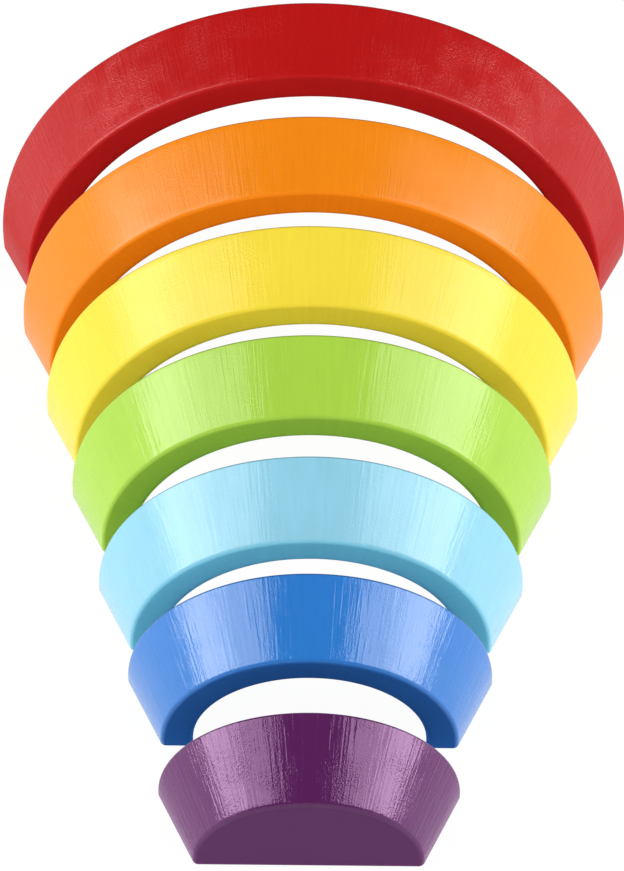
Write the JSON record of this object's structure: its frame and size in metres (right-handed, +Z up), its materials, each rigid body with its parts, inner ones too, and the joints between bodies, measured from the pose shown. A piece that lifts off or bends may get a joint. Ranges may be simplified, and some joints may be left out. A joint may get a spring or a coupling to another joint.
{
  "type": "rainbow stacker",
  "caption": "Loose painted wooden arches in rainbow colours and a solid half-round core, all flared towards the back, standing in a row and nesting over one another.",
  "frame": {"origin": "on the table at the middle of the row: on the arches' middle plane, halfway between the core's front face and the red arch's back face, at the height of the feet", "axes": "+X to the right across the arches, +Y along the row from the small core to the large red arch, +Z up"},
  "size_m": [0.2424, 0.27, 0.1242],
  "materials": {
    "purple_paint": "semi-gloss purple paint over sanded solid wood, with faint lines running from front to back",
    "blue_paint": "semi-gloss blue paint over sanded solid wood, with faint lines running from front to back",
    "light_blue_paint": "semi-gloss light blue paint over sanded solid wood, with faint lines running from front to back",
    "green_paint": "semi-gloss green paint over sanded solid wood, with faint lines running from front to back",
    "yellow_paint": "semi-gloss yellow paint over sanded solid wood, with faint lines running from front to back",
    "orange_paint": "semi-gloss orange paint over sanded solid wood, with faint lines running from front to back",
    "red_paint": "semi-gloss red paint over sanded solid wood, with faint lines running from front to back"
  },
  "bodies": {
    "purple_core": {"purple_core": "purple_paint"},
    "blue_arch": {"blue_arch": "blue_paint"},
    "light_blue_arch": {"light_blue_arch": "light_blue_paint"},
    "green_arch": {"green_arch": "green_paint"},
    "yellow_arch": {"yellow_arch": "yellow_paint"},
    "orange_arch": {"orange_arch": "orange_paint"},
    "red_arch": {"red_arch": "red_paint"}
  },
  "joints": [
    {"name": "blue_lift", "type": "slide", "parent": "purple_core", "child": "blue_arch", "axis": [0, 0, 1], "range_m": [0, 0.13]},
    {"name": "light_blue_lift", "type": "slide", "parent": "purple_core", "child": "light_blue_arch", "axis": [0, 0, 1], "range_m": [0, 0.13]},
    {"name": "green_lift", "type": "slide", "parent": "purple_core", "child": "green_arch", "axis": [0, 0, 1], "range_m": [0, 0.13]},
    {"name": "yellow_lift", "type": "slide", "parent": "purple_core", "child": "yellow_arch", "axis": [0, 0, 1], "range_m": [0, 0.13]},
    {"name": "orange_lift", "type": "slide", "parent": "purple_core", "child": "orange_arch", "axis": [0, 0, 1], "range_m": [0, 0.13]},
    {"name": "red_lift", "type": "slide", "parent": "purple_core", "child": "red_arch", "axis": [0, 0, 1], "range_m": [0, 0.13]}
  ]
}
